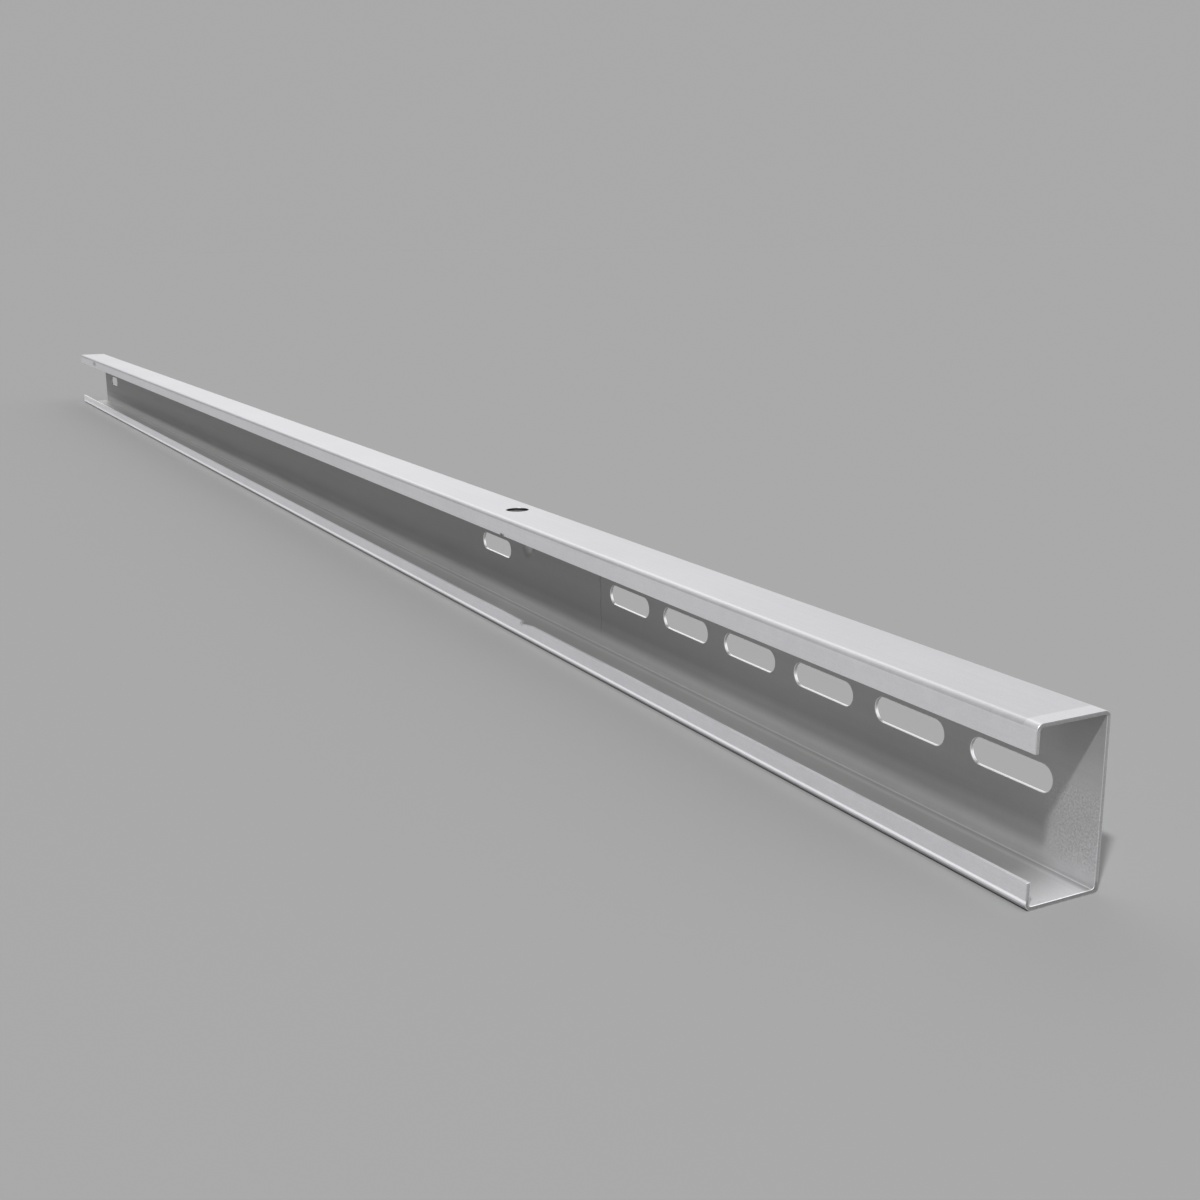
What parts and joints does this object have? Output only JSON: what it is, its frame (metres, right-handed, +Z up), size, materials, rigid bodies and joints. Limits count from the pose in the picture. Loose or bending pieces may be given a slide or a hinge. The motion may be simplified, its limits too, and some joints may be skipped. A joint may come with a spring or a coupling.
{
  "type": "solar mounting upright",
  "caption": "Long lipped C channel of galvanised steel with long slots in its web, for bolting solar panel rails, braces and feet to.",
  "frame": {"origin": "middle of the underside, on the floor", "axes": "+X along the channel towards the slotted end, +Y from the open side towards the web's back, +Z up"},
  "size_m": [2.8, 0.05, 0.1],
  "materials": {
    "galvanised": "satin galvanised, with a faint grain"
  },
  "bodies": {
    "root": {"upright": "galvanised"}
  },
  "joints": []
}
